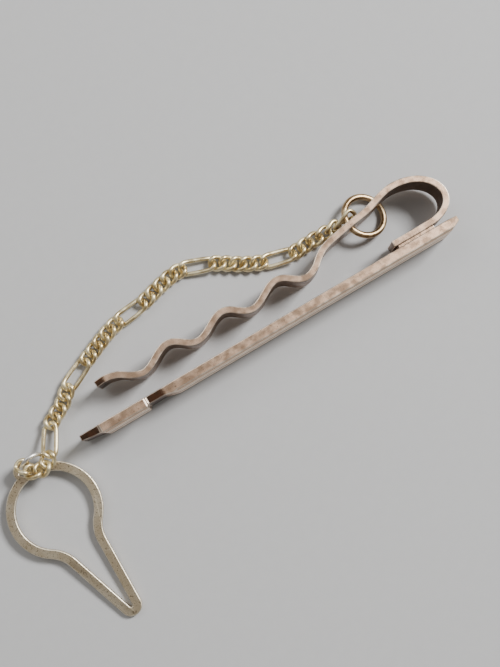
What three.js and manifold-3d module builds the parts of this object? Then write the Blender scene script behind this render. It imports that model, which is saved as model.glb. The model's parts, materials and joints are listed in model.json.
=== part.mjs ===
// A vintage tie clip with its safety chain, lying on its long edge.
// Millimetres, +Z up. X runs along the front bar from the open end of the jaw to the closed end,
// Y points from the bar towards the spring and the chain, Z is the width of the bar.
// The route lists below are in the clip's own frame: X = 0 at the bar's tip, Y = BAR_BACK on its back
// face, Z = 0 on the surface that the clip lies on. The last lines move the whole assembly so that the
// origin is under its middle.
import * as THREE from 'three';
import { mergeVertices } from 'three/addons/utils/BufferGeometryUtils.js';
import Module from 'manifold-3d';

const wasm = await Module();
wasm.setup();

// Front bar
const BAR_LENGTH = 57;
const BAR_WIDTH = 5.6;
const BAR_EDGE = 1.25;        // thickness along the two long edges
const BAR_PROUD = 0.25;       // how far the raised bands stand out of the front
const GROOVE_DEPTH = 0.2;
const BAR_BACK = 0.35;        // where the flat back of the bar stands

// Spring strip and the pad under its foot
const STRIP_WIDTH = 4.4;
const STRIP_THICK = 0.88;
const STRIP_BASE = 0.92;      // height of the strip's lower edge
const STRIP_STEPS = 150;
const JAW_GAP = 0.3;          // cut between the fixed bend and the sprung arm
const PAD_THICK = 0.36;
const FIT = 0.03;             // gap left between faces that are soldered together
const WAVES = 4;
const WAVE_PITCH = 8.2;
const FIRST_TROUGH = 11.2;
const TROUGH_LEVEL = 3.2;
const CREST_LEVEL = 4.95;
const CREST_LAG = 4.45;       // a crest stands this far after its trough
const WAVE_POINTS = 8;
const STRIP_TIP = [[5.1, 4.95], [6.7, 5.06], [8.3, 4.62], [9.6, 3.78]];
const FOOT_LEVEL = BAR_BACK + PAD_THICK + 2 * FIT + STRIP_THICK / 2;
const STRIP_RISE = [
  [37.3, 3.72], [38.4, 4.62], [39.7, 5.42], [43.6, 6.28], [47.4, 6.92], [49.2, 7.52], [51.2, 7.94],
  [53.3, 7.75], [55.3, 6.92], [56.7, 5.5], [57.15, 3.95], [56.75, 2.65], [55.8, 1.8],
  [54.4, 1.32], [52.7, FOOT_LEVEL], [47.7, FOOT_LEVEL],
];

// Large jump ring, threaded through a hole near the strip's lower edge
const RING_RADIUS = 2.85;
const RING_WIRE = 0.78;
const RING_CENTRE = new THREE.Vector3(47.2, 6.9, 1.42);
const RING_HEADING = 9.4;     // degrees, along the strip
const RING_TILT = -20;        // degrees, the ring lies lower towards the closed end
const RING_HOLE = 1.5;

// Chain: five short curb links between long ones
const WIRE = 0.6;
const SLACK = 0.1;            // play between the bows of two linked links
const TWIST = -0.42;          // how far a bow rises and falls, so that links pass over and under
const BOW = 1.01;             // half-length of a link's rounded part
const SHORT_LINK = { pitch: 1.4, halfWidth: 0.86, around: 16 };
const LONG_LINK = { pitch: 4.05, halfWidth: 0.86, around: 20 };
const END_LINK = { pitch: 2.6, halfWidth: 0.85, around: 18 };
const WIRE_SIDES = 6;
const LINK_PATTERN = 'E SSSSS L SSSSS L SSSSS L SSSSS L SSSS L SSSS';
const LINK_KINDS = { E: END_LINK, L: LONG_LINK, S: SHORT_LINK };
const LINK_NAMES = { E: 'end_link', L: 'long_link', S: 'short_link' };
// where each stretch of chain lies, chosen by hand
const CHAIN_ROUTE = [
  [45.6, 7.85, 2.72], [44.4, 7.72, 2.02], [43.2, 7.66, 1.4], [41.0, 7.58, 1.02], [39.0, 7.64, 0.88],
  [36.4, 7.45, 0.76], [34.2, 7.85, 0.76], [32.2, 8.5, 0.76], [29.6, 9.75, 0.76], [26.9, 11.5, 0.76],
  [23.8, 12.9, 0.76], [21.4, 13.25, 0.76], [18.4, 12.65, 0.76], [15.0, 11.75, 0.76], [12.6, 11.5, 0.76],
  [10.6, 11.2, 0.76], [8.0, 10.2, 0.76], [5.0, 8.9, 0.76], [2.6, 7.9, 0.76], [0.9, 6.8, 0.76],
  [-0.3, 5.5, 0.76], [-1.7, 4.85, 0.76], [-3.1, 3.9, 1.0], [-4.1, 2.1, 1.85], [-4.95, 0.3, 2.5],
  [-5.94, -0.65, 2.52], [-7.33, -0.78, 2.6], [-8.45, 0.12, 2.72], [-8.75, 1.48, 2.75], [-8.8, 2.0, 2.75],
];
const LINK_ROLLS = { 0: -80, 1: -55, 2: -30, 3: -10, 30: 5, 31: 12, 32: 24, 33: 40 };

// Connector ring between the chain and the button loop
const CONNECTOR_RADIUS = 1.6;
const CONNECTOR_WIRE = 0.5;
const CONNECTOR_HEADING = 11; // degrees
const CONNECTOR_LEAN = 66;    // degrees, of its plane from the horizontal
const CONNECTOR_CENTRE = new THREE.Vector3(-7.45, 0.7, 1.7);

// Button loop: a flat keyhole frame with a pierced tab
const LOOP_RADIUS = 6.35;
const LOOP_BAND = 1.22;
const LOOP_THICK = 0.7;
const TIP_RADIUS = 1.45;
const TIP_AT = 15.85;         // from the middle of the round part to that of the rounded tip
const NECK_RADIUS = 4;        // of the hollow where the round part runs into a leg
const NECK_AT = 7.7;          // the hollow's middle, below that of the round part
const LOOP_CENTRE = new THREE.Vector3(-7.97, -6.06, 1.085);
const LOOP_HEADING = 8.9;     // degrees
const LOOP_LEAN = 2.4;        // degrees, the tab rests on the connector ring
const TAB_RADIUS = 1.4;
const TAB_AT = 6.5;
const TAB_HOLE = 1.4;

const PLATED = new THREE.MeshStandardMaterial({ color: 0xc9b09a, roughness: 0.42, metalness: 0.9 });
const WORN = new THREE.MeshStandardMaterial({ color: 0x8c6a50, roughness: 0.55, metalness: 0.8 });
const BRONZE = new THREE.MeshStandardMaterial({ color: 0xb08d5c, roughness: 0.4, metalness: 0.9 });
const GILT = new THREE.MeshStandardMaterial({ color: 0xcfc08f, roughness: 0.35, metalness: 0.9 });
const AGED = new THREE.MeshStandardMaterial({ color: 0xa08e6c, roughness: 0.5, metalness: 0.85 });

const radians = THREE.MathUtils.degToRad;

function solidOf(geometry) {
  const bare = geometry.clone();
  bare.deleteAttribute('normal');
  bare.deleteAttribute('uv');
  const merged = mergeVertices(bare);
  return new wasm.Manifold(new wasm.Mesh({
    numProp: 3,
    vertProperties: new Float32Array(merged.attributes.position.array),
    triVerts: new Uint32Array(merged.index.array),
  }));
}

function geometryOf(solid) {
  const mesh = solid.getMesh();
  const geometry = new THREE.BufferGeometry();
  geometry.setAttribute('position', new THREE.BufferAttribute(mesh.vertProperties, 3));
  geometry.setIndex(new THREE.BufferAttribute(mesh.triVerts, 1));
  return geometry;
}

function piece(name, geometry, material) {
  const mesh = new THREE.Mesh(geometry, material.clone());
  mesh.name = name;
  return mesh;
}

function prism(outline, depth, curveSegments = 24) {
  return new THREE.ExtrudeGeometry(outline, { depth, bevelEnabled: false, curveSegments });
}

// The bar seen from its edge: a bevelled tip, a raised block, a recess, then the long plain front.
function barPlan() {
  const outline = [
    [0, 0], [BAR_LENGTH, 0], [BAR_LENGTH, -0.75], [55.2, -1.55], [14.2, -1.55], [12.0, -1.05],
    [9.7, -1.05], [9.4, -1.55], [3.4, -1.55], [2.8, -1.15], [0, -0.8],
  ];
  return new THREE.Shape(outline.map(([x, y]) => new THREE.Vector2(x, y)));
}

// The bar seen from the front: the ends are narrower than the middle.
function barFront() {
  const outline = [
    [0, 0.55], [2.7, 0.3], [2.9, 0], [9.5, 0], [9.8, 0.3], [12.0, 0.3], [14.0, 0], [55.6, 0],
    [BAR_LENGTH, 0.8],
  ];
  const mirrored = outline.map(([x, z]) => [x, BAR_WIDTH - z]).reverse();
  return new THREE.Shape([...outline, ...mirrored].map(([x, z]) => new THREE.Vector2(x, z)));
}

// The bar's section: flat back, raised bands along the front with a groove on each side of the middle.
function barSection() {
  const edge = -BAR_EDGE;
  const band = edge - BAR_PROUD;
  const groove = band + GROOVE_DEPTH;
  const half = [
    [0, 0], [edge, 0], [band, 0.35], [band, 1.2], [groove, 1.4], [groove, 1.85], [band, 2.05],
  ];
  const mirrored = half.map(([y, z]) => [y, BAR_WIDTH - z]).reverse();
  return new THREE.Shape([...half, ...mirrored].map(([y, z]) => new THREE.Vector2(y, z)));
}

function frontBar() {
  const plan = solidOf(prism(barPlan(), BAR_WIDTH));
  const front = prism(barFront(), 2 * BAR_PROUD + 2 * BAR_EDGE);
  front.rotateX(Math.PI / 2);
  front.translate(0, BAR_PROUD, 0);
  const section = prism(barSection(), BAR_LENGTH + 2);
  // the section's own x becomes Y and its y becomes Z, and it runs along X
  section.applyMatrix4(new THREE.Matrix4().makeBasis(
    new THREE.Vector3(0, 1, 0), new THREE.Vector3(0, 0, 1), new THREE.Vector3(1, 0, 0),
  ));
  section.translate(-1, 0, 0);
  const bar = plan.intersect(solidOf(front)).intersect(solidOf(section));
  return geometryOf(bar.translate([0, BAR_BACK, 0]));
}

// The waves lean a little: a crest stands further from the trough before it than from the next one.
function stripCurve() {
  const route = [...STRIP_TIP];
  const middle = (TROUGH_LEVEL + CREST_LEVEL) / 2;
  const swing = (CREST_LEVEL - TROUGH_LEVEL) / 2;
  for (let i = 0; i <= (WAVES - 1) * WAVE_POINTS; i += 1) {
    const turn = i / WAVE_POINTS;
    const rise = Math.cos(2 * Math.PI * turn);
    const lean = (CREST_LAG - WAVE_PITCH / 2) * (1 - rise) / 2;
    route.push([FIRST_TROUGH + turn * WAVE_PITCH + lean, middle - swing * rise]);
  }
  route.push(...STRIP_RISE);
  const points = route.map(([x, y]) => new THREE.Vector3(x, y, 0));
  return new THREE.CatmullRomCurve3(points, false, 'centripetal');
}

// A length of the strip between two shares of its route, bent from flat stock.
function bentStrip(curve, from, to, steps) {
  const left = [];
  const right = [];
  for (let i = 0; i <= steps; i += 1) {
    const u = from + (to - from) * i / steps;
    const point = curve.getPointAt(u);
    const along = curve.getTangentAt(u);
    const side = new THREE.Vector2(-along.y, along.x).multiplyScalar(STRIP_THICK / 2);
    left.push(new THREE.Vector2(point.x + side.x, point.y + side.y));
    right.push(new THREE.Vector2(point.x - side.x, point.y - side.y));
  }
  const geometry = prism(new THREE.Shape([...right, ...left.reverse()]), STRIP_WIDTH);
  geometry.translate(0, 0, STRIP_BASE);
  return geometry;
}

// The share of the route where the bend reaches furthest from the jaw.
function bendShare(curve) {
  let best = 0;
  for (let i = 0; i <= STRIP_STEPS * 10; i += 1) {
    const u = i / (STRIP_STEPS * 10);
    if (curve.getPointAt(u).x > curve.getPointAt(best).x) {
      best = u;
    }
  }
  return best;
}

function ringDirections() {
  const heading = radians(RING_HEADING);
  const tilt = radians(RING_TILT);
  const along = new THREE.Vector3(
    Math.cos(heading) * Math.cos(tilt), Math.sin(heading) * Math.cos(tilt), Math.sin(tilt),
  );
  const across = new THREE.Vector3(-Math.sin(heading), Math.cos(heading), 0);
  return { along, across, normal: new THREE.Vector3().crossVectors(along, across) };
}

function ringHole() {
  const { along, across } = ringDirections();
  const cutter = new THREE.CylinderGeometry(RING_HOLE / 2, RING_HOLE / 2, 4 * STRIP_THICK, 16);
  const spot = RING_CENTRE.clone().addScaledVector(along, -RING_RADIUS);
  const turn = new THREE.Quaternion().setFromUnitVectors(new THREE.Vector3(0, 1, 0), across);
  cutter.applyQuaternion(turn);
  cutter.translate(spot.x, spot.y, spot.z);
  return solidOf(cutter);
}

function ringMesh(name, radius, wire, sides, around, material, centre, x, y, z) {
  const mesh = piece(name, mergedTorus(new THREE.TorusGeometry(radius, wire / 2, sides, around)), material);
  mesh.quaternion.setFromRotationMatrix(new THREE.Matrix4().makeBasis(x, y, z));
  mesh.position.copy(centre);
  return mesh;
}

function mergedTorus(torus) {
  torus.deleteAttribute('normal');
  torus.deleteAttribute('uv');
  return mergeVertices(torus);
}

// The middle of a link's wire: two round bows and straight sides. Each bow climbs on one side and
// falls on the other, so that a row of links lies flat and still interlocks.
function linkPoint(kind, angle) {
  const straight = (kind.pitch + WIRE + SLACK) / 2 - BOW;
  const shift = Math.cos(angle) >= 0 ? straight : -straight;
  return new THREE.Vector3(
    BOW * Math.cos(angle) + shift,
    kind.halfWidth * Math.sin(angle),
    TWIST * Math.sin(2 * angle),
  );
}

// A torus whose round path is pulled onto the link's path.
function linkGeometry(kind) {
  const around = kind.around;
  const torus = new THREE.TorusGeometry(1, WIRE / 2, WIRE_SIDES, around);
  const position = torus.attributes.position;
  const uv = torus.attributes.uv;
  for (let i = 0; i < position.count; i += 1) {
    // the stations sit half a step off, so that none falls where the straight sides begin
    const angle = 2 * Math.PI * ((Math.round(uv.getX(i) * around) % around) + 0.5) / around;
    const turn = 2 * Math.PI * (Math.round(uv.getY(i) * WIRE_SIDES) % WIRE_SIDES) / WIRE_SIDES;
    const step = Math.PI / around / 4;
    const along = linkPoint(kind, angle + step).sub(linkPoint(kind, angle - step)).normalize();
    const outward = new THREE.Vector3(along.y, -along.x, 0).normalize();
    const upward = new THREE.Vector3().crossVectors(outward, along);
    const spot = linkPoint(kind, angle)
      .addScaledVector(outward, Math.cos(turn) * WIRE / 2)
      .addScaledVector(upward, Math.sin(turn) * WIRE / 2);
    position.setXYZ(i, spot.x, spot.y, spot.z);
  }
  return mergedTorus(torus);
}

// Points along the route, a link's pitch apart in a straight line.
function linkJoints(kinds) {
  const route = new THREE.CatmullRomCurve3(
    CHAIN_ROUTE.map((p) => new THREE.Vector3(...p)), false, 'centripetal',
  );
  const joints = [route.getPoint(0)];
  const fine = 6000;
  let at = 0;
  for (const kind of kinds) {
    const last = joints[joints.length - 1];
    while (at < fine && route.getPoint(at / fine).distanceTo(last) < kind.pitch) {
      at += 1;
    }
    joints.push(route.getPoint(at / fine));
  }
  return joints;
}

function placeLink(mesh, from, to, roll) {
  const x = to.clone().sub(from).normalize();
  const y = new THREE.Vector3(0, 0, 1).cross(x).normalize();
  const z = new THREE.Vector3().crossVectors(x, y);
  mesh.quaternion.setFromRotationMatrix(new THREE.Matrix4().makeBasis(x, y, z));
  mesh.rotateX(radians(roll));
  mesh.position.copy(from).add(to).multiplyScalar(0.5);
}

function chain() {
  const letters = [...LINK_PATTERN].filter((c) => c !== ' ');
  const joints = linkJoints(letters.map((c) => LINK_KINDS[c]));
  return letters.map((letter, i) => {
    const number = String(i + 1).padStart(2, '0');
    const mesh = piece(`${LINK_NAMES[letter]}_${number}`, linkGeometry(LINK_KINDS[letter]), GILT);
    placeLink(mesh, joints[i], joints[i + 1], LINK_ROLLS[i] ?? 0);
    return mesh;
  });
}

// The keyhole outline, inset from the loop's outer edge: arcs about five fixed middles, joined by
// the straight legs.
function keyhole(inset) {
  const round = LOOP_RADIUS - inset;
  const tip = TIP_RADIUS - inset;
  const hollow = NECK_RADIUS + inset;
  const neckX = Math.sqrt((LOOP_RADIUS + NECK_RADIUS) ** 2 - NECK_AT ** 2);
  const shoulder = Math.atan2(NECK_AT, neckX);
  const reach = Math.hypot(neckX, TIP_AT - NECK_AT);
  const leg = Math.atan2(TIP_AT - NECK_AT, neckX) + Math.asin((TIP_RADIUS + NECK_RADIUS) / reach);
  const across = leg - Math.PI / 2;
  const path = new THREE.Shape();
  path.absarc(0, 0, round, -shoulder, Math.PI + shoulder, false);
  path.absarc(-neckX, -NECK_AT, hollow, shoulder, -across, true);
  path.absarc(0, -TIP_AT, tip, Math.PI - across, across, false);
  path.absarc(neckX, -NECK_AT, hollow, Math.PI + across, Math.PI - shoulder, true);
  return path;
}

function buttonLoop() {
  const outline = keyhole(0);
  const frame = solidOf(prism(outline, LOOP_THICK));
  const opening = prism(keyhole(LOOP_BAND), 3 * LOOP_THICK);
  opening.translate(0, 0, -LOOP_THICK);
  const tab = new THREE.CylinderGeometry(TAB_RADIUS, TAB_RADIUS, LOOP_THICK, 24);
  tab.rotateX(Math.PI / 2);
  tab.translate(0, TAB_AT, LOOP_THICK / 2);
  const hole = new THREE.CylinderGeometry(TAB_HOLE / 2, TAB_HOLE / 2, 3 * LOOP_THICK, 16);
  hole.rotateX(Math.PI / 2);
  hole.translate(0, TAB_AT, LOOP_THICK / 2);
  const solid = frame.add(solidOf(tab)).subtract(solidOf(opening)).subtract(solidOf(hole));
  const mesh = piece('button_loop', geometryOf(solid.translate([0, 0, -LOOP_THICK / 2])), AGED);
  mesh.rotation.set(radians(LOOP_LEAN), 0, radians(LOOP_HEADING), 'ZYX');
  mesh.position.copy(LOOP_CENTRE);
  return mesh;
}

function solderPad() {
  const pad = new THREE.BoxGeometry(5.4, PAD_THICK, STRIP_WIDTH - 0.4);
  pad.translate(50.9, BAR_BACK + FIT + PAD_THICK / 2, STRIP_BASE + STRIP_WIDTH / 2);
  return pad;
}

function build() {
  const clip = new THREE.Group();
  const strip = stripCurve();
  const bend = bendShare(strip);
  const cut = JAW_GAP / 2 / strip.getLength();
  const armSteps = Math.round(STRIP_STEPS * bend);
  const arm = solidOf(bentStrip(strip, 0, bend - cut, armSteps)).subtract(ringHole());
  clip.add(piece('front_bar', frontBar(), PLATED));
  clip.add(piece('solder_pad', solderPad(), WORN));
  clip.add(piece('spring_foot', bentStrip(strip, bend + cut, 1, STRIP_STEPS - armSteps), PLATED));
  clip.add(piece('spring_arm', geometryOf(arm), PLATED));

  const ring = ringDirections();
  clip.add(ringMesh(
    'jump_ring', RING_RADIUS, RING_WIRE, 8, 30, BRONZE, RING_CENTRE, ring.along, ring.across, ring.normal,
  ));
  clip.add(...chain());

  const heading = radians(CONNECTOR_HEADING);
  const lean = radians(CONNECTOR_LEAN);
  const along = new THREE.Vector3(Math.cos(heading), Math.sin(heading), 0);
  const inward = new THREE.Vector3(
    Math.sin(heading) * Math.cos(lean), -Math.cos(heading) * Math.cos(lean), -Math.sin(lean),
  );
  const normal = new THREE.Vector3().crossVectors(along, inward);
  clip.add(ringMesh(
    'connector_ring', CONNECTOR_RADIUS, CONNECTOR_WIRE, 8, 20, BRONZE, CONNECTOR_CENTRE, along, inward, normal,
  ));
  clip.add(buttonLoop());
  return clip;
}

const clip = build();
const extent = new THREE.Box3().setFromObject(clip, true);
const middle = extent.getCenter(new THREE.Vector3());
clip.position.set(-middle.x, -middle.y, -extent.min.z);
const assembly = new THREE.Group();
assembly.add(clip);

export default assembly;
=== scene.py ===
"""Looks of a vintage tie clip: front bar, waved spring strip, jump ring, figaro chain and button loop."""

import json
import math

import bmesh
import bpy
from bpy.props import FloatProperty, FloatVectorProperty, IntProperty, PointerProperty
from bpy.types import Operator, Panel, PropertyGroup
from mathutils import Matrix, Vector


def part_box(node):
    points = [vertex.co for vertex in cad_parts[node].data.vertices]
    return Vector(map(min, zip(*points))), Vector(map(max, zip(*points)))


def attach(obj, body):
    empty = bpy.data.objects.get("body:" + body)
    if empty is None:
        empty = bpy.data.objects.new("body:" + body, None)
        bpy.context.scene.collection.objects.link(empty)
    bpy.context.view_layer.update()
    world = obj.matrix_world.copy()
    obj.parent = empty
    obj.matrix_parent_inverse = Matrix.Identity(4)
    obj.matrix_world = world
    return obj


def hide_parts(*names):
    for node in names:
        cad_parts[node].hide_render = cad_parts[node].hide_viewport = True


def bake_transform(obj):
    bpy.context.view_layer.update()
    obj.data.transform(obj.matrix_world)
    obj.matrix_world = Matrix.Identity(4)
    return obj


bl_info = {
    "name": "Tie Clip with Chain",
    "version": (1, 0, 0),
    "blender": (4, 5, 0),
    "location": "View3D > Sidebar > Tie Clip",
    "description": "Builds the finished surfaces of a tie clip around its solid model",
    "category": "Add Mesh",
}

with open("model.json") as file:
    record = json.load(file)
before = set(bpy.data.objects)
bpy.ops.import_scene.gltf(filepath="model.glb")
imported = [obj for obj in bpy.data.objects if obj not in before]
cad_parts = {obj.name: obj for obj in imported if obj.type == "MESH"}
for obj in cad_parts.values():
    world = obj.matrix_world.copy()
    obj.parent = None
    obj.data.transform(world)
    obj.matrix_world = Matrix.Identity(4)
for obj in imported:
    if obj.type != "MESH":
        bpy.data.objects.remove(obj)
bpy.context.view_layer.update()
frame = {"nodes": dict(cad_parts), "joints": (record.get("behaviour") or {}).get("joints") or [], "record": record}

MM = 0.001
SHARP = math.radians(33)          # edges sharper than this are rounded
FLAT = math.radians(0.3)          # faces closer than this are one face
CRISP_BAR = math.radians(8)       # the bar's facets stay crisp above this angle
CRISP_BENT = math.radians(22)     # bent and punched pieces stay smooth up to this angle
WIRE_BEND = math.radians(60)      # triangles of a wire that meet flatter than this become one face
WIRE_SKEW = math.radians(70)      # how far such a face may be from a rectangle
WELD = 0.004 * MM                 # corners closer than this are one corner
WORN = "worn"                     # face attribute, 1 on the rounded edges

PAD_ROUND = 0.04 * MM             # radius of the edges of the thin solder
CHAIN_SWELL = 0.05 * MM           # what smoothing takes off each wire
RING_SWELL = 0.09 * MM
CONNECTOR_SWELL = 0.05 * MM
FACES_Y = 0.8                     # least Y part of the normal of a face that looks along Y
CUT_REACH_X = 1.5 * MM            # the strip's two cut faces lie this near its hinge
CUT_REACH_Y = 0.6 * MM

BLOTCH_SCALE = 900.0              # texture cycles per metre
SPECK_SCALE = 3200.0
LOOP_BLOTCH_SCALE = 350.0
COPPER_ON_BAR = ((-0.6, 2.7), (9.6, 12.2))    # bare stretches, mm along the clip from the bar's open tip
COPPER_ON_STRIP = ((4.0, 6.4),)
BRUSH_ON_BAR = (60.0, 2500.0, 2500.0)         # scratches along the bar
BRUSH_ON_STRIP = (500.0, 500.0, 4000.0)       # scratches along the bent strip
BAR_SIDE_SHADE = 0.45                             # share of painted shade on the upright faces, so the sides look darker than the tops
STRIP_SIDE_SHADE = 0.8

AIM = Vector((4.27, 5.51, 0)) * MM            # where the camera and the lights point, on the floor
FLOOR_REACH = 1.5                             # metres from the middle of the floor to each side
MOTTLE_SCALE = 700.0                          # faint mottling of the floor, and its darker share
MOTTLE_SHADE = 0.94
NEAR_CLIP = 0.005
MAIN_PLACE = Vector((0.40, 0.06, 0.42))       # metres from the aim to each light
MAIN_POWER = 5.2
FILL_PLACE = Vector((-0.16, 0.36, 0.46))
FILL_POWER = 0.8
FILL_WIDTH = 0.35
SKY = (1.0, 0.97, 0.93, 1.0)
SKY_STRENGTH = 0.3

BAR = "front_bar"
PAD = "solder_pad"
FOOT = "spring_foot"
ARM = "spring_arm"
RING = "jump_ring"
CONNECTOR = "connector_ring"
LOOP = "button_loop"
LINKS = sorted((name for name in frame["nodes"] if "_link_" in name), key=lambda name: name[-2:])

BODY_OF = {node: body for body, nodes in frame["record"]["behaviour"]["bodies"].items() for node in nodes}
JAW = next(joint for joint in frame["joints"] if joint["name"] == "jaw_flex")


def colour(name, description, default):
    """A linear colour that can be changed in the sidebar."""
    return FloatVectorProperty(
        name=name, description=description, default=default, subtype="COLOR", size=3, min=0, max=1
    )


def length(name, description, default):
    """A length in metres."""
    return FloatProperty(
        name=name, description=description, default=default, min=0, unit="LENGTH", precision=6
    )


class ClipMetal(PropertyGroup):
    """Colours of the bar and the spring strip."""

    plating: colour("Plating", "Warm silver plating where it is whole", (0.74, 0.50, 0.34))
    bright: colour("Bright edge", "Plating rubbed bright along the edges", (0.97, 0.84, 0.70))
    copper: colour("Copper", "Base metal where the plating has gone", (0.13, 0.06, 0.034))
    # The next colour is the painted shade on the upright faces of the bar and strip, and also darkens the bare
    # metal in blotches.
    shade_and_grime: colour("Grime", "Dark film in corners and inside the bends", (0.05, 0.032, 0.022))
    edge_round: length("Edge rounding", "Radius of the worn edges", 0.11 * MM)


class ChainMetal(PropertyGroup):
    """Colours of the chain and the rings."""

    gilt: colour("Gilt", "Pale gilt of the chain links", (0.68, 0.54, 0.29))
    gilt_bright: colour("Gilt highlight", "Gilt rubbed bright on top of the links", (0.96, 0.86, 0.58))
    # The next colour darkens the specks, and is also the painted shade in the hollows of the links and of the
    # connector ring.
    gilt_dark: colour("Chain grime", "Dirt between the links", (0.03, 0.02, 0.009))
    bronze: colour("Bronze", "Gold-brown patina of the ring", (0.33, 0.21, 0.105))
    bronze_bright: colour("Bronze highlight", "Rubbed parts of the ring", (0.62, 0.47, 0.28))
    # The next colour darkens the specks, and is also the painted shade in the hollows of the ring.
    bronze_dark: colour("Bronze dark", "Dark patina in the ring", (0.05, 0.028, 0.014))
    silver: colour("Silver", "Pale plating of the connector ring", (0.72, 0.69, 0.66))
    silver_bright: colour("Silver highlight", "Rubbed parts of the connector ring", (0.93, 0.91, 0.88))
    wire_steps: IntProperty(
        name="Wire smoothing", description="Subdivision levels of each wire", default=2, min=0, max=3
    )


class LoopMetal(PropertyGroup):
    """Colours of the button loop."""

    brass: colour("Brass", "Matte aged brass", (0.56, 0.46, 0.31))
    bright: colour("Bright edge", "Polished edge line", (0.92, 0.84, 0.68))
    speckle: colour("Speckle", "Dark spots of tarnish", (0.07, 0.05, 0.03))
    stain: colour("Stain", "Orange-brown stain by the tab", (0.33, 0.15, 0.05))
    edge_round: length("Edge rounding", "Radius of the punched edges", 0.11 * MM)


class Studio(PropertyGroup):
    """Floor, light and camera."""

    floor: colour("Floor", "Plain pale floor", (0.50, 0.50, 0.50))
    distance: length("Camera distance", "From the camera to the floor in the middle of the view", 0.1384)
    azimuth: FloatProperty(
        name="Azimuth", description="Turn of the camera round the clip",
        default=math.radians(-30.5), subtype="ANGLE"
    )
    elevation: FloatProperty(
        name="Elevation", description="Height of the camera above the horizon",
        default=math.radians(83.5), subtype="ANGLE"
    )
    lens: FloatProperty(name="Lens", description="Focal length", default=55.5, unit="CAMERA")
    softness: length("Light width", "Width of the main light", 0.16)


GROUPS = {"clip_metal": ClipMetal, "chain_metal": ChainMetal, "loop_metal": LoopMetal, "studio": Studio}


# ---------------------------------------------------------------- shader groups


def socket(group, name, kind, side, default=None):
    """Adds one named socket to a node group."""
    made = group.interface.new_socket(name=name, in_out=side, socket_type="NodeSocket" + kind)
    if default is not None:
        made.default_value = default


def new_group(name, inputs, outputs):
    """An empty node group with its sockets, and its input and output nodes."""
    group = bpy.data.node_groups.new(name, "ShaderNodeTree")
    for label, kind, default in inputs:
        socket(group, label, kind, "INPUT", default)
    for label, kind in outputs:
        socket(group, label, kind, "OUTPUT")
    return group, group.nodes.new("NodeGroupInput"), group.nodes.new("NodeGroupOutput")


def math_node(tree, operation, first, second=0.0):
    """A Math node whose inputs are sockets or numbers."""
    node = tree.nodes.new("ShaderNodeMath")
    node.operation = operation
    for slot, value in enumerate((first, second)):
        if isinstance(value, bpy.types.NodeSocket):
            tree.links.new(value, node.inputs[slot])
        else:
            node.inputs[slot].default_value = value
    return node.outputs[0]


def mix_colour(tree, factor, first, second):
    """A colour Mix node whose inputs are sockets, colours or numbers."""
    node = tree.nodes.new("ShaderNodeMix")
    node.data_type = "RGBA"
    node.clamp_factor = True
    for index, value in ((0, factor), (6, first), (7, second)):
        if isinstance(value, bpy.types.NodeSocket):
            tree.links.new(value, node.inputs[index])
        elif index:
            node.inputs[index].default_value = (*value, 1.0)
        else:
            node.inputs[index].default_value = value
    return node.outputs[2]


def tint(tree, base, shade, mask, strength):
    """The base colour with a share of another colour where the mask is 1."""
    return mix_colour(tree, math_node(tree, "MULTIPLY", mask, strength), base, shade)


def ramp(tree, value, low, high):
    """Maps low to 0 and high to 1, smoothly."""
    node = tree.nodes.new("ShaderNodeMapRange")
    node.interpolation_type = "SMOOTHSTEP"
    node.inputs["From Min"].default_value = low
    node.inputs["From Max"].default_value = high
    tree.links.new(value, node.inputs["Value"])
    return node.outputs["Result"]


def noise(tree, vector, scale, detail=4.0, rough=0.55):
    """A Noise texture's value, on the given vector."""
    node = tree.nodes.new("ShaderNodeTexNoise")
    node.inputs["Detail"].default_value = detail
    node.inputs["Roughness"].default_value = rough
    tree.links.new(vector, node.inputs["Vector"])
    if isinstance(scale, bpy.types.NodeSocket):
        tree.links.new(scale, node.inputs["Scale"])
    else:
        node.inputs["Scale"].default_value = scale
    return node.outputs["Fac"]


def wear_group():
    """Edge wear and hollow shade: a patchy mask of the rounded edges, and one of hollows, from the surface's bend,
    for painted shade.
    """
    group, given, out = new_group(
        "Edge wear and hollow shade",
        [("Vector", "Vector", None), ("Break scale", "Float", 900.0), ("Break", "Float", 0.5)],
        [("Rubbed", "Float"), ("Hollow shade", "Float")],
    )
    bend = group.nodes.new("ShaderNodeNewGeometry").outputs["Pointiness"]
    patch = noise(group, given.outputs["Vector"], given.outputs["Break scale"])
    edge = group.nodes.new("ShaderNodeAttribute")
    edge.attribute_name = WORN
    share = math_node(group, "MULTIPLY", ramp(group, patch, 0.62, 0.42), given.outputs["Break"])
    kept = math_node(group, "SUBTRACT", 1.0, share)
    group.links.new(math_node(group, "MULTIPLY", edge.outputs["Fac"], kept), out.inputs["Rubbed"])
    group.links.new(ramp(group, bend, 0.505, 0.46), out.inputs["Hollow shade"])


def tarnish_group():
    """Tarnish: broad blotches, small dark specks and a fine grain."""
    group, given, out = new_group(
        "Tarnish",
        [
            ("Vector", "Vector", None), ("Blotch scale", "Float", 250.0),
            ("Speck scale", "Float", 1500.0), ("Speck share", "Float", 0.4),
        ],
        [("Blotch", "Float"), ("Specks", "Float"), ("Grain", "Float")],
    )
    vector = given.outputs["Vector"]
    group.links.new(ramp(group, noise(group, vector, given.outputs["Blotch scale"]), 0.35, 0.68),
                    out.inputs["Blotch"])
    speck = noise(group, vector, given.outputs["Speck scale"], detail=3.0, rough=0.7)
    edge = math_node(group, "MULTIPLY", given.outputs["Speck share"], 0.3)
    above = math_node(group, "ADD", speck, edge)
    group.links.new(ramp(group, above, 0.68, 0.80), out.inputs["Specks"])
    grain_scale = math_node(group, "MULTIPLY", given.outputs["Speck scale"], 4.0)
    group.links.new(noise(group, vector, grain_scale, detail=2.0), out.inputs["Grain"])


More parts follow.
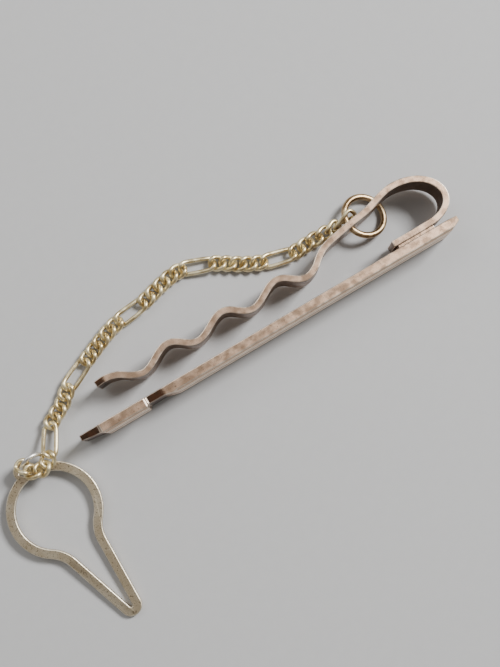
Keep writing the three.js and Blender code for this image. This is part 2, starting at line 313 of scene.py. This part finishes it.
def brushed_group():
    """Brushed lines: fine scratches that run along one direction of the given vector."""
    group, given, out = new_group(
        "Brushed lines",
        [("Vector", "Vector", None), ("Stretch", "Vector", (60.0, 4000.0, 4000.0))],
        [("Lines", "Float")],
    )
    scaled = group.nodes.new("ShaderNodeVectorMath")
    scaled.operation = "MULTIPLY"
    group.links.new(given.outputs["Vector"], scaled.inputs[0])
    group.links.new(given.outputs["Stretch"], scaled.inputs[1])
    group.links.new(noise(group, scaled.outputs[0], 1.0, detail=3.0, rough=0.6), out.inputs["Lines"])


def make_groups():
    """Builds the shared shader groups, which the materials find by name."""
    wear_group()
    tarnish_group()
    brushed_group()


def place_group(tree, name, vector, **values):
    """Places a shared group in a material, with that material's own values."""
    node = tree.nodes.new("ShaderNodeGroup")
    node.node_tree = bpy.data.node_groups[name]
    tree.links.new(vector, node.inputs["Vector"])
    for label, value in values.items():
        node.inputs[label.replace("_", " ")].default_value = value
    return node


def new_material(name, metallic=1.0):
    """A material with a Principled shader. Returns the material, its tree, the shader and a vector."""
    material = bpy.data.materials.new(name)
    material.use_nodes = True
    tree = material.node_tree
    shader = next(node for node in tree.nodes if node.type == "BSDF_PRINCIPLED")
    shader.inputs["Metallic"].default_value = metallic
    place = tree.nodes.new("ShaderNodeTexCoord").outputs["Object"]
    return material, tree, shader, place


def set_roughness(tree, shader, mask, low, spread):
    """Roughness that rises from low by spread where the mask is 1."""
    rough = math_node(tree, "MULTIPLY_ADD", mask, spread)
    rough.node.inputs[2].default_value = low
    tree.links.new(rough, shader.inputs["Roughness"])


def add_bump(tree, shader, height, strength, depth):
    """Feeds a height into the shader's normal."""
    node = tree.nodes.new("ShaderNodeBump")
    node.inputs["Strength"].default_value = strength
    node.inputs["Distance"].default_value = depth
    tree.links.new(height, node.inputs["Height"])
    tree.links.new(node.outputs["Normal"], shader.inputs["Normal"])


def along_bar(tree, place):
    """Distance along the clip in millimetres, from the bar's open tip."""
    split = tree.nodes.new("ShaderNodeSeparateXYZ")
    tree.links.new(place, split.inputs[0])
    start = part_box(BAR)[0].x
    return math_node(tree, "MULTIPLY", math_node(tree, "SUBTRACT", split.outputs["X"], start), 1 / MM)


def band(tree, value, start, end, soft=0.25):
    """1 between start and end, falling off over a soft width."""
    rise = ramp(tree, value, start - soft, start + soft)
    fall = ramp(tree, value, end + soft, end - soft)
    return math_node(tree, "MULTIPLY", rise, fall)


def upright(tree):
    """1 on the broad faces that stand upright as the clip lies, 0 on the narrow edges on top: the mask of the
    painted shade on the sides.
    """
    split = tree.nodes.new("ShaderNodeSeparateXYZ")
    tree.links.new(tree.nodes.new("ShaderNodeNewGeometry").outputs["True Normal"], split.inputs[0])
    return ramp(tree, math_node(tree, "ABSOLUTE", split.outputs["Z"]), 0.75, 0.3)


def bare_stretches(tree, place, grain, stretches):
    """1 on the stretches of the clip where the plating has gone, with ragged ends."""
    ragged = math_node(tree, "MULTIPLY", math_node(tree, "SUBTRACT", grain, 0.5), 1.4)
    distance = math_node(tree, "ADD", along_bar(tree, place), ragged)
    bare = 0.0
    for start, end in stretches:
        bare = math_node(tree, "MAXIMUM", band(tree, distance, start, end), bare)
    return bare


def plated_material(name, settings, stretches, brush, patina):
    """Warm plating with brushed lines, bright edges, painted shade on the upright faces and bare copper."""
    material, tree, shader, place = new_material(name)
    wear = place_group(tree, "Edge wear and hollow shade", place, Break=0.35)
    tarnish = place_group(
        tree, "Tarnish", place, Blotch_scale=BLOTCH_SCALE, Speck_scale=SPECK_SCALE, Speck_share=0.3
    )
    brushed = place_group(tree, "Brushed lines", place, Stretch=brush)
    blotch, grain, rubbed = tarnish.outputs["Blotch"], tarnish.outputs["Grain"], wear.outputs["Rubbed"]
    base = tint(tree, settings.plating, settings.bright, blotch, 0.14)
    base = tint(tree, base, settings.copper, ramp(tree, grain, 0.35, 0.65), 0.25)
    base = tint(tree, base, settings.copper, tarnish.outputs["Specks"], 0.6)
    # Painted shade: the upright sides take a share of this dark colour, so that they look darker than the tops.
    side_shade = mix_colour(tree, 0.5, settings.copper, settings.shade_and_grime)
    base = tint(tree, base, side_shade, upright(tree), patina)
    base = mix_colour(tree, rubbed, base, settings.bright)
    metal = mix_colour(tree, blotch, settings.copper, settings.shade_and_grime)
    kept = math_node(tree, "SUBTRACT", 1.0, math_node(tree, "MULTIPLY", rubbed, 0.5))
    base = tint(tree, base, metal, bare_stretches(tree, place, grain, stretches), kept)
    tree.links.new(base, shader.inputs["Base Color"])
    set_roughness(tree, shader, blotch, 0.30, 0.16)
    add_bump(tree, shader, math_node(tree, "ADD", brushed.outputs["Lines"], grain), 0.35, 0.02 * MM)
    return material


def wire_material(name, base_colour, bright, dark, rough_low, speck_share):
    """Polished wire: patchy patina, dark specks and painted shade where the wire is sheltered."""
    material, tree, shader, place = new_material(name)
    wear = place_group(tree, "Edge wear and hollow shade", place)
    tarnish = place_group(
        tree, "Tarnish", place, Blotch_scale=BLOTCH_SCALE, Speck_scale=SPECK_SCALE, Speck_share=speck_share
    )
    base = mix_colour(tree, tarnish.outputs["Blotch"], base_colour, bright)
    base = tint(tree, base, dark, tarnish.outputs["Specks"], 0.8)
    # Painted shade: the hollows of the wire are darkened towards the dark colour.
    base = mix_colour(tree, wear.outputs["Hollow shade"], base, dark)
    tree.links.new(base, shader.inputs["Base Color"])
    set_roughness(tree, shader, tarnish.outputs["Blotch"], rough_low, 0.15)
    add_bump(tree, shader, tarnish.outputs["Grain"], 0.25, 0.015 * MM)
    return material


def loop_material(settings):
    """Matte aged brass with dark specks, polished edges and a stain by the tab."""
    material, tree, shader, place = new_material("Aged brass")
    wear = place_group(tree, "Edge wear and hollow shade", place)
    tarnish = place_group(
        tree, "Tarnish", place, Blotch_scale=LOOP_BLOTCH_SCALE, Speck_scale=SPECK_SCALE, Speck_share=0.5
    )
    blotch, grain, specks = (tarnish.outputs[mask] for mask in ("Blotch", "Grain", "Specks"))
    base = mix_colour(tree, blotch, settings.brass, settings.bright)
    base = mix_colour(tree, 0.6, base, settings.brass)
    base = tint(tree, base, settings.speckle, ramp(tree, grain, 0.4, 0.7), 0.2)
    base = tint(tree, base, settings.speckle, specks, 0.75)
    split = tree.nodes.new("ShaderNodeSeparateXYZ")
    tree.links.new(place, split.inputs[0])
    tab_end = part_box(LOOP)[1].y
    near_tab = ramp(tree, split.outputs["Y"], tab_end - 5 * MM, tab_end - 0.5 * MM)
    base = tint(tree, base, settings.stain, math_node(tree, "MULTIPLY", near_tab, blotch), 0.7)
    base = mix_colour(tree, wear.outputs["Rubbed"], base, settings.bright)
    tree.links.new(base, shader.inputs["Base Color"])
    set_roughness(tree, shader, specks, 0.42, 0.2)
    add_bump(tree, shader, math_node(tree, "SUBTRACT", grain, specks), 0.4, 0.02 * MM)
    return material


# ---------------------------------------------------------------- mesh helpers


def solid_copy(*nodes):
    """A bmesh with these nodes' surfaces, welded."""
    mesh = bmesh.new()
    for node in nodes:
        mesh.from_mesh(frame["nodes"][node].data)
    bmesh.ops.remove_doubles(mesh, verts=mesh.verts, dist=WELD)
    return mesh


def join_flats(mesh):
    """Removes the seams inside flat areas."""
    bmesh.ops.dissolve_limit(
        mesh, angle_limit=FLAT, verts=mesh.verts, edges=mesh.edges, use_dissolve_boundaries=False
    )


def round_edges(mesh, radius, crisp):
    """Rounds the sharp edges a little, marks them as worn and keeps the angles above crisp as clean lines."""
    bmesh.ops.recalc_face_normals(mesh, faces=mesh.faces)
    sharp = [edge for edge in mesh.edges if edge.is_manifold and edge.calc_face_angle() > SHARP]
    worn = mesh.faces.layers.float.new(WORN)
    made = bmesh.ops.bevel(
        mesh, geom=sharp, offset=radius, offset_type="OFFSET", segments=2, profile=0.5,
        affect="EDGES", clamp_overlap=False,
    )
    for face in made["faces"]:
        face[worn] = 1.0
    for edge in mesh.edges:
        edge.smooth = not edge.is_manifold or edge.calc_face_angle() < crisp


def finish_piece(mesh, name, material, nodes, body=None, smoothing=0):
    """Turns a bmesh into a finished piece that stands for the given nodes."""
    bmesh.ops.recalc_face_normals(mesh, faces=mesh.faces)
    for face in mesh.faces:
        face.smooth = True
    data = bpy.data.meshes.new(name)
    mesh.to_mesh(data)
    mesh.free()
    piece = bpy.data.objects.new(name, data)
    bpy.context.scene.collection.objects.link(piece)
    data.materials.append(material)
    if smoothing:
        smooth = piece.modifiers.new("Smooth", "SUBSURF")
        smooth.levels = smoothing
        smooth.render_levels = smoothing
    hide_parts(*nodes)
    if body:
        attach(piece, body)
    return piece


def round_wire(node, swell):
    """A wire node's surface as clean four-sided faces, swollen by what the smoothing takes away."""
    mesh = solid_copy(node)
    bmesh.ops.join_triangles(
        mesh, faces=mesh.faces, angle_face_threshold=WIRE_BEND, angle_shape_threshold=WIRE_SKEW
    )
    mesh.normal_update()
    for vert in mesh.verts:
        vert.co += vert.normal * swell
    return mesh


# ---------------------------------------------------------------- operators


class CLIP_OT_finishes(Operator):
    """Builds the shared wear groups and the metals"""

    bl_idname = "clip.finishes"
    bl_label = "Metals"

    def execute(self, context):
        scene = context.scene
        make_groups()
        clip = scene.clip_metal
        plated_material("Bar plating", clip, COPPER_ON_BAR, BRUSH_ON_BAR, BAR_SIDE_SHADE)
        plated_material("Strip plating", clip, COPPER_ON_STRIP, BRUSH_ON_STRIP, STRIP_SIDE_SHADE)
        chain = scene.chain_metal
        wire_material("Gilt wire", chain.gilt, chain.gilt_bright, chain.gilt_dark, 0.32, 0.2)
        wire_material("Bronze wire", chain.bronze, chain.bronze_bright, chain.bronze_dark, 0.30, 0.35)
        wire_material("Silver wire", chain.silver, chain.silver_bright, chain.gilt_dark, 0.26, 0.15)
        loop_material(scene.loop_metal)
        return {"FINISHED"}


class CLIP_OT_bar(Operator):
    """Builds the stamped front bar and the solder under the foot of the strip"""

    bl_idname = "clip.bar"
    bl_label = "Front bar"

    def execute(self, context):
        settings = context.scene.clip_metal
        for node, radius in ((BAR, settings.edge_round), (PAD, PAD_ROUND)):
            mesh = solid_copy(node)
            join_flats(mesh)
            round_edges(mesh, radius, CRISP_BAR)
            finish_piece(mesh, node + "_finished", bpy.data.materials["Bar plating"], [node], BODY_OF[node])
        return {"FINISHED"}


class CLIP_OT_strip(Operator):
    """Joins the foot and the arm of the spring into one bent strip"""

    bl_idname = "clip.strip"
    bl_label = "Spring strip"

    def execute(self, context):
        settings = context.scene.clip_metal
        mesh = solid_copy(FOOT, ARM)
        hinge = Vector(JAW["pos_m"])
        ends = [
            face for face in mesh.faces
            if abs(face.normal.y) > FACES_Y
            and abs(face.calc_center_median().y - hinge.y) < CUT_REACH_Y
            and face.calc_center_median().x > hinge.x - CUT_REACH_X
        ]
        if not ends:
            raise RuntimeError("the cut faces of the strip were not found")
        bmesh.ops.delete(mesh, geom=ends, context="FACES")
        rim = [edge for edge in mesh.edges if edge.is_boundary]
        bmesh.ops.bridge_loops(mesh, edges=rim)
        join_flats(mesh)
        round_edges(mesh, settings.edge_round, CRISP_BENT)
        piece = finish_piece(mesh, "spring_strip", bpy.data.materials["Strip plating"], [FOOT, ARM])
        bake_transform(piece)
        return {"FINISHED"}


class CLIP_OT_chain(Operator):
    """Draws every link of the chain as round wire"""

    bl_idname = "clip.chain"
    bl_label = "Chain"

    def execute(self, context):
        steps = context.scene.chain_metal.wire_steps
        for node in LINKS:
            mesh = round_wire(node, CHAIN_SWELL)
            finish_piece(
                mesh, node + "_wire", bpy.data.materials["Gilt wire"], [node], BODY_OF[node], smoothing=steps
            )
        return {"FINISHED"}


class CLIP_OT_rings(Operator):
    """Draws the jump ring and the connector ring as round wire"""

    bl_idname = "clip.rings"
    bl_label = "Rings"

    def execute(self, context):
        steps = context.scene.chain_metal.wire_steps
        for node, metal, swell in (
            (RING, "Bronze wire", RING_SWELL),
            (CONNECTOR, "Silver wire", CONNECTOR_SWELL),
        ):
            mesh = round_wire(node, swell)
            finish_piece(
                mesh, node + "_wire", bpy.data.materials[metal], [node], BODY_OF[node], smoothing=steps
            )
        return {"FINISHED"}


class CLIP_OT_loop(Operator):
    """Builds the keyhole-shaped button loop"""

    bl_idname = "clip.loop"
    bl_label = "Button loop"

    def execute(self, context):
        settings = context.scene.loop_metal
        mesh = solid_copy(LOOP)
        join_flats(mesh)
        round_edges(mesh, settings.edge_round, CRISP_BENT)
        finish_piece(mesh, LOOP + "_finished", bpy.data.materials["Aged brass"], [LOOP], BODY_OF[LOOP])
        return {"FINISHED"}


class CLIP_OT_studio(Operator):
    """Lays the floor and sets the lights and the camera"""

    bl_idname = "clip.studio"
    bl_label = "Studio"

    def execute(self, context):
        scene = context.scene
        settings = scene.studio
        self.lay_floor(settings)
        self.set_camera(scene, settings)
        self.set_lights(scene, settings)
        return {"FINISHED"}

    def lay_floor(self, settings):
        """A wide plain sheet just under the clip."""
        mesh = bmesh.new()
        bmesh.ops.create_grid(mesh, x_segments=1, y_segments=1, size=FLOOR_REACH)
        data = bpy.data.meshes.new("floor")
        mesh.to_mesh(data)
        mesh.free()
        floor = bpy.data.objects.new("floor", data)
        bpy.context.scene.collection.objects.link(floor)
        material, tree, shader, place = new_material("Floor", metallic=0.0)
        shade = tuple(MOTTLE_SHADE * part for part in settings.floor)
        base = mix_colour(tree, noise(tree, place, MOTTLE_SCALE), settings.floor, shade)
        tree.links.new(base, shader.inputs["Base Color"])
        shader.inputs["Roughness"].default_value = 0.9
        data.materials.append(material)

    def set_camera(self, scene, settings):
        """A camera that looks steeply down at the clip."""
        data = bpy.data.cameras.new("camera")
        camera = bpy.data.objects.new("camera", data)
        scene.collection.objects.link(camera)
        turn, rise = settings.azimuth, settings.elevation
        back = Vector((math.sin(turn) * math.cos(rise), -math.cos(turn) * math.cos(rise), math.sin(rise)))
        camera.rotation_mode = "QUATERNION"
        camera.rotation_quaternion = (-back).to_track_quat("-Z", "Y")
        camera.location = AIM + back * settings.distance
        data.lens = settings.lens
        data.clip_start = NEAR_CLIP
        scene.camera = camera

    def set_lights(self, scene, settings):
        """A broad window-like light, a weaker fill and an even sky."""
        for name, place, power, size in (
            ("main", MAIN_PLACE, MAIN_POWER, settings.softness),
            ("fill", FILL_PLACE, FILL_POWER, FILL_WIDTH),
        ):
            data = bpy.data.lights.new(name, "AREA")
            data.energy = power
            data.size = size
            lamp = bpy.data.objects.new(name, data)
            scene.collection.objects.link(lamp)
            lamp.location = AIM + place
            lamp.rotation_euler = (-place).to_track_quat("-Z", "Y").to_euler()
        world = bpy.data.worlds.new("sky")
        world.use_nodes = True
        sky = world.node_tree.nodes["Background"]
        sky.inputs["Color"].default_value = SKY
        sky.inputs["Strength"].default_value = SKY_STRENGTH
        scene.world = world


OPERATORS = (
    CLIP_OT_finishes, CLIP_OT_bar, CLIP_OT_strip, CLIP_OT_chain, CLIP_OT_rings, CLIP_OT_loop, CLIP_OT_studio,
)


class CLIP_PT_sidebar(Panel):
    """Lists the pieces of the clip"""

    bl_label = "Tie Clip"
    bl_idname = "CLIP_PT_sidebar"
    bl_space_type = "VIEW_3D"
    bl_region_type = "UI"
    bl_category = "Tie Clip"

    def draw(self, context):
        for operator in OPERATORS:
            self.layout.operator(operator.bl_idname)
        for name in GROUPS:
            group = getattr(context.scene, name)
            box = self.layout.box()
            for key in group.__annotations__:
                box.prop(group, key)


CLASSES = (*GROUPS.values(), *OPERATORS, CLIP_PT_sidebar)


def register():
    """Registers the settings, the operators and the panel."""
    for made in CLASSES:
        bpy.utils.register_class(made)
    for name, group in GROUPS.items():
        setattr(bpy.types.Scene, name, PointerProperty(type=group))


def unregister():
    """Takes everything out again."""
    for name in GROUPS:
        delattr(bpy.types.Scene, name)
    for made in reversed(CLASSES):
        bpy.utils.unregister_class(made)


def main():
    """Builds every piece and the stage."""
    register()
    for operator in OPERATORS:
        group, name = operator.bl_idname.split(".")
        getattr(getattr(bpy.ops, group), name)()


if __name__ == "__main__":
    main()
